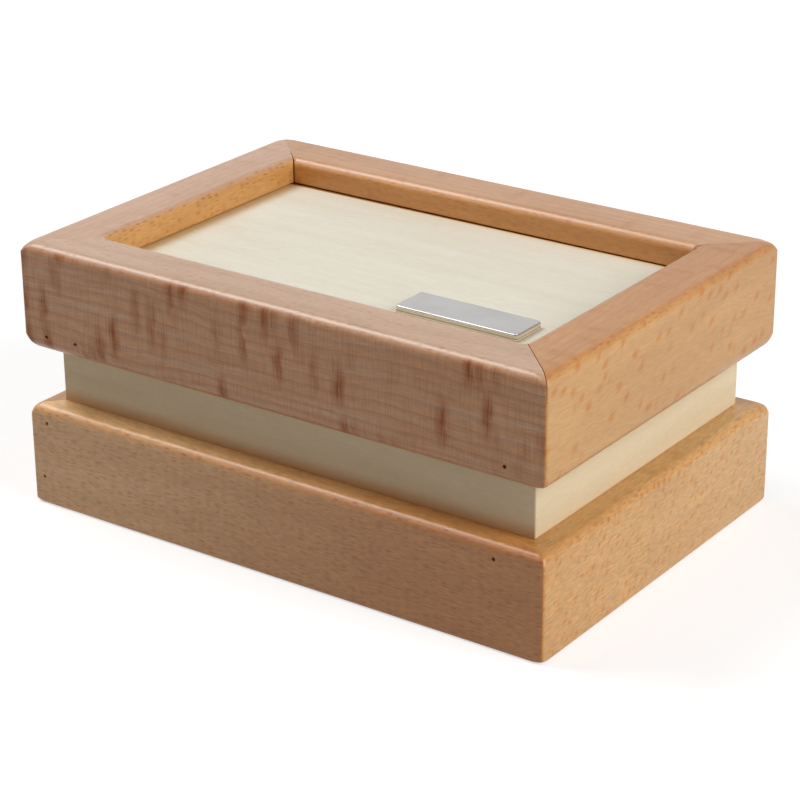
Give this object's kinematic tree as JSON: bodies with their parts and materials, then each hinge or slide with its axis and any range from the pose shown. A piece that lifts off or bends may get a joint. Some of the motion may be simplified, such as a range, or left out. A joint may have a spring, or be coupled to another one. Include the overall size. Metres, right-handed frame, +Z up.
{
  "type": "wooden puzzle box",
  "caption": "Wooden puzzle box of two mitred beech frames with a pale band between them, a lift-off lid with a recessed panel and a sliding nameplate that works a hidden latch.",
  "frame": {"origin": "centre of the footprint, on the surface that the box stands on", "axes": "+X along the long front to the right, +Y from the front to the back, +Z up"},
  "size_m": [0.18, 0.1244, 0.0824],
  "materials": {
    "beech": "satin clear lacquer",
    "lime_wood": "fine sanded, raw",
    "panel_ply": "fine sanded, raw",
    "latch_wood": "planed, raw",
    "plate_metal": "brushed, bare",
    "magnet": "nickel plated",
    "brad_steel": "dull steel"
  },
  "bodies": {
    "base": {"base_rail_front": "beech", "base_rail_back": "beech", "base_rail_left": "beech", "base_rail_right": "beech", "base_panel": "panel_ply", "band_front": "lime_wood", "band_back": "lime_wood", "band_left": "lime_wood", "band_right": "lime_wood", "liner_front": "lime_wood", "liner_back": "lime_wood", "liner_left": "lime_wood", "liner_right": "lime_wood", "base_brads": "brad_steel", "latch_keeper": "latch_wood"},
    "lid": {"lid_rail_front": "beech", "lid_rail_back": "beech", "lid_rail_left": "beech", "lid_rail_right": "beech", "lid_panel": "panel_ply", "lid_brads": "brad_steel", "latch_guide_front": "latch_wood", "latch_guide_back": "latch_wood", "latch_bridge_left": "latch_wood", "latch_bridge_right": "latch_wood"},
    "nameplate_slider": {"nameplate": "plate_metal", "nameplate_block": "panel_ply", "block_magnet": "magnet"},
    "latch": {"latch_bar": "latch_wood", "magnet_carrier": "latch_wood", "latch_magnet": "magnet"}
  },
  "joints": [
    {"name": "lid_lift", "type": "slide", "parent": "base", "child": "lid", "axis": [0, 0, 1], "range_m": [0, 0.06]},
    {"name": "nameplate_slide", "type": "slide", "parent": "lid", "child": "nameplate_slider", "axis": [1, 0, 0], "range_m": [0, 0.0055]},
    {"name": "latch_slide", "type": "slide", "parent": "lid", "child": "latch", "axis": [1, 0, 0], "range_m": [0, 0.0055]}
  ],
  "couplings": [
    {"joint": "latch_slide", "follows": "nameplate_slide", "ratio": 1}
  ]
}
